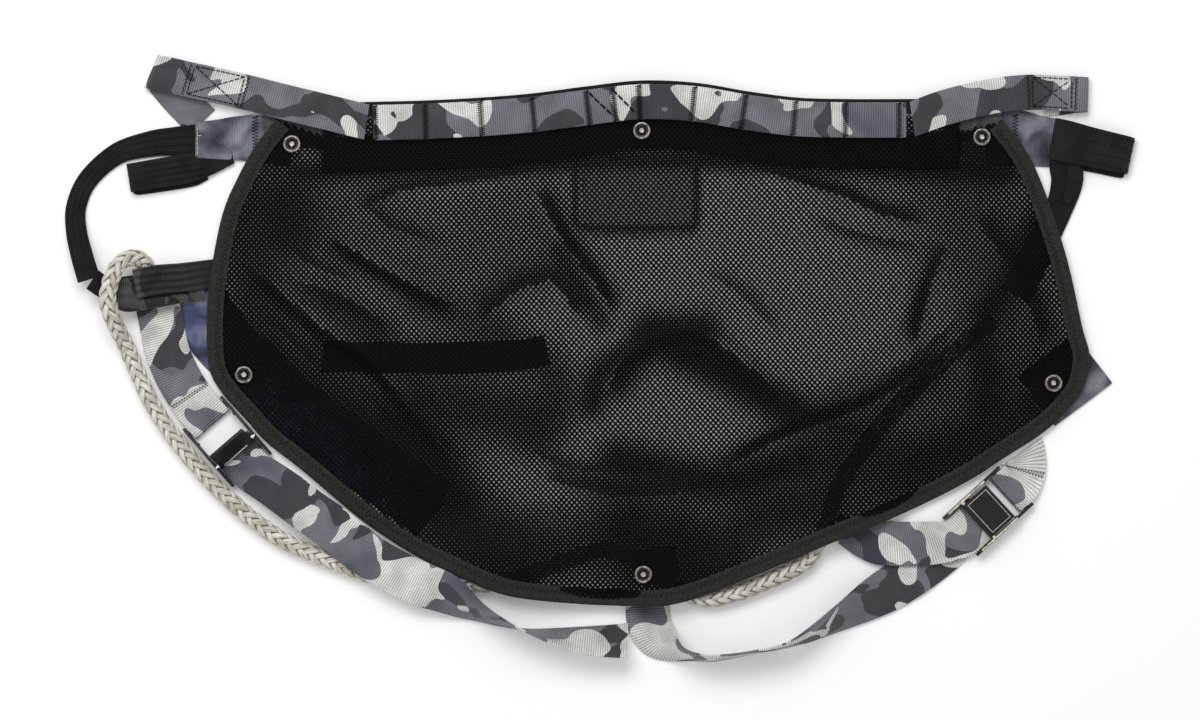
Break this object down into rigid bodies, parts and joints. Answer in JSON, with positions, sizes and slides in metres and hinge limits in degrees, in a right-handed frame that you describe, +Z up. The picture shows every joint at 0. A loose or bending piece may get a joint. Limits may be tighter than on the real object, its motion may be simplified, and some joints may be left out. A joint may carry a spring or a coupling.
{
  "type": "tree saddle",
  "caption": "Mesh sling seat for tree climbing with webbing belt loops, cam-buckled leg straps, snap fasteners and a plaited bridge rope, laid flat.",
  "frame": {"origin": "middle of the laid-out saddle, without its rope, on the floor it lies on", "axes": "+X to the right along the belt, +Y from the seat towards the belt, +Z up off the floor"},
  "size_m": [0.773, 0.437, 0.0333],
  "materials": {
    "black_mesh": "open knitted polyester mesh",
    "black_webbing": "matt woven tape",
    "camo_webbing": "ribbed webbing printed in grey and white patches",
    "satin_webbing": "smooth grey-blue webbing",
    "rope_fibre": "hollow plaited fibre",
    "snap_nickel": "antique nickel",
    "buckle_black": "matt black",
    "pin_steel": "plain steel"
  },
  "bodies": {
    "seat": {"bridge_rope": "rope_fibre", "crotch_tab": "camo_webbing", "edge_binding": "black_webbing", "left_bridge_root": "black_webbing", "left_hip_flap": "camo_webbing", "left_support_band": "satin_webbing", "left_wing_tab": "satin_webbing", "rear_pocket": "black_mesh", "right_bridge_loop": "black_webbing", "right_support_band": "satin_webbing", "right_wing_tab": "satin_webbing", "seat_panel": "black_mesh", "snap_cap_low_left": "snap_nickel", "snap_cap_low_middle": "snap_nickel", "snap_cap_low_right": "snap_nickel", "snap_cap_top_left": "snap_nickel", "snap_cap_top_middle": "snap_nickel", "snap_cap_top_right": "snap_nickel", "snap_socket_low_left": "snap_nickel", "snap_socket_low_middle": "snap_nickel", "snap_socket_low_right": "snap_nickel", "snap_socket_top_left": "snap_nickel", "snap_socket_top_middle": "snap_nickel", "snap_socket_top_right": "snap_nickel", "top_hem": "black_webbing", "waist_belt": "camo_webbing"},
    "left_belt_loop_body": {"left_belt_loop": "camo_webbing"},
    "right_belt_loop_body": {"right_belt_loop": "camo_webbing"},
    "left_lineman_loop_body": {"left_lineman_loop": "black_webbing"},
    "right_lineman_loop_body": {"right_lineman_loop": "black_webbing"},
    "left_bridge_loop_body": {"left_bridge_loop": "black_webbing"},
    "left_leg_loop_body": {"left_anchor_strap": "camo_webbing", "left_buckle_frame": "buckle_black", "left_pivot_pin": "pin_steel", "left_leg_strap": "camo_webbing"},
    "right_leg_loop_body": {"right_anchor_strap": "camo_webbing", "right_buckle_frame": "buckle_black", "right_pivot_pin": "pin_steel", "right_leg_strap": "camo_webbing"},
    "left_cam_lever_body": {"left_cam_lever": "buckle_black"},
    "right_cam_lever_body": {"right_cam_lever": "buckle_black"}
  },
  "joints": [
    {"name": "left_belt_loop_swing", "type": "hinge", "parent": "seat", "child": "left_belt_loop_body", "pos_m": [-0.16775, 0.1573, 0.0075], "axis": [0.9908, -0.1245, 0.0533], "range_deg": [0, 65]},
    {"name": "right_belt_loop_swing", "type": "hinge", "parent": "seat", "child": "right_belt_loop_body", "pos_m": [0.22805, 0.1595, 0.0075], "axis": [0.9846, 0.1557, -0.0789], "range_deg": [0, 65]},
    {"name": "left_lineman_loop_swing", "type": "hinge", "parent": "seat", "child": "left_lineman_loop_body", "pos_m": [-0.29235, 0.134, 0.00475], "axis": [-0.203, 0.9792, 0], "range_deg": [0, 80]},
    {"name": "right_lineman_loop_swing", "type": "hinge", "parent": "seat", "child": "right_lineman_loop_body", "pos_m": [0.34365, 0.1515, 0.00475], "axis": [-0.2066, -0.9784, 0], "range_deg": [0, 80]},
    {"name": "left_bridge_loop_swing", "type": "hinge", "parent": "seat", "child": "left_bridge_loop_body", "pos_m": [-0.29535, 0.1505, 0], "axis": [0.5554, 0.8224, -0.1237], "range_deg": [0, 60]},
    {"name": "left_leg_loop_swing", "type": "hinge", "parent": "seat", "child": "left_leg_loop_body", "pos_m": [-0.29885, 0.0324, 0.0022], "axis": [-0.8141, 0.5807, 0.0047], "range_deg": [0, 80]},
    {"name": "right_leg_loop_swing", "type": "hinge", "parent": "seat", "child": "right_leg_loop_body", "pos_m": [0.31865, -0.0565, 0.0069], "axis": [-0.8511, -0.5241, 0.0305], "range_deg": [0, 55]},
    {"name": "left_cam_lever_pivot", "type": "hinge", "parent": "left_leg_loop_body", "child": "left_cam_lever_body", "pos_m": [-0.26013, -0.06664, 0.0092], "axis": [0.7547, 0.6561, 0], "range_deg": [-60, 35]},
    {"name": "right_cam_lever_pivot", "type": "hinge", "parent": "right_leg_loop_body", "child": "right_cam_lever_body", "pos_m": [0.27361, -0.1159, 0.0092], "axis": [0.6769, -0.7361, 0], "range_deg": [0, 95]}
  ]
}
